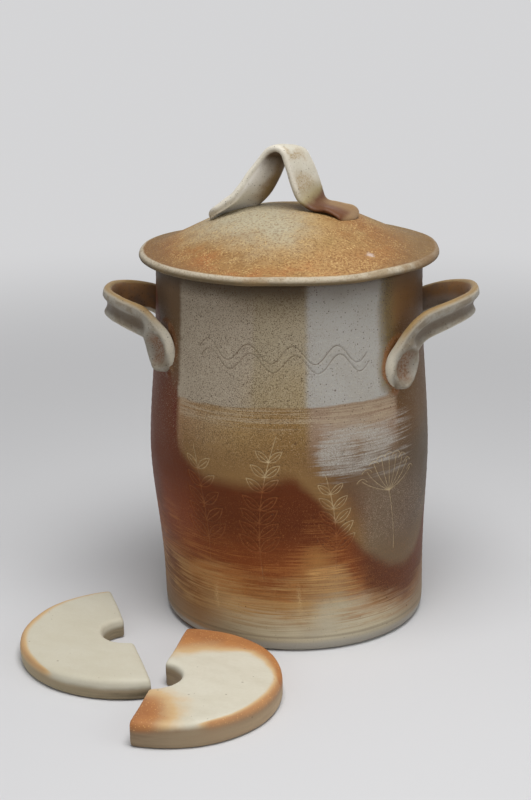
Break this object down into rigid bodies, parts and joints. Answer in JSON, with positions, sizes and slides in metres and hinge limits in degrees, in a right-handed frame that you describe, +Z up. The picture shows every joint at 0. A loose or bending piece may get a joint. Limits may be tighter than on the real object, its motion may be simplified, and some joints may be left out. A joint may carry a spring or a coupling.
{
  "type": "ceramic crock fermenter",
  "caption": "Tall stoneware fermenting crock with pulled side handles, a lift-off domed lid with a strap handle, and half-round notched weights that hold food under brine.",
  "frame": {"origin": "centre of the crock's foot ring, on the table", "axes": "+Z up along the crock's axis, -Y towards the front where the weights lie, +X to the right as seen from the front"},
  "size_m": [0.3654, 0.3851, 0.3906],
  "materials": {
    "crock_glaze": "satin wood-ash glaze over brushed slip, speckled",
    "handle_glaze": "satin slip glaze, pale on the edges",
    "lid_glaze": "granular satin ash glaze",
    "lid_handle_glaze": "satin cream slip glaze",
    "weight_glaze": "smooth satin cream glaze with orange flashing"
  },
  "bodies": {
    "crock": {"crock_body": "crock_glaze", "left_handle": "handle_glaze", "right_handle": "handle_glaze"},
    "lid": {"lid": "lid_glaze", "lid_handle": "lid_handle_glaze"},
    "left_weight": {"left_weight": "weight_glaze"},
    "right_weight": {"right_weight": "weight_glaze"}
  },
  "joints": [
    {"name": "lid_lift", "type": "slide", "parent": "crock", "child": "lid", "axis": [0, 0, 1], "range_m": [0, 0.16]},
    {"name": "left_weight_lift", "type": "slide", "parent": "crock", "child": "left_weight", "axis": [0, 0, 1], "range_m": [0, 0.2]},
    {"name": "right_weight_lift", "type": "slide", "parent": "crock", "child": "right_weight", "axis": [0, 0, 1], "range_m": [0, 0.25]}
  ]
}
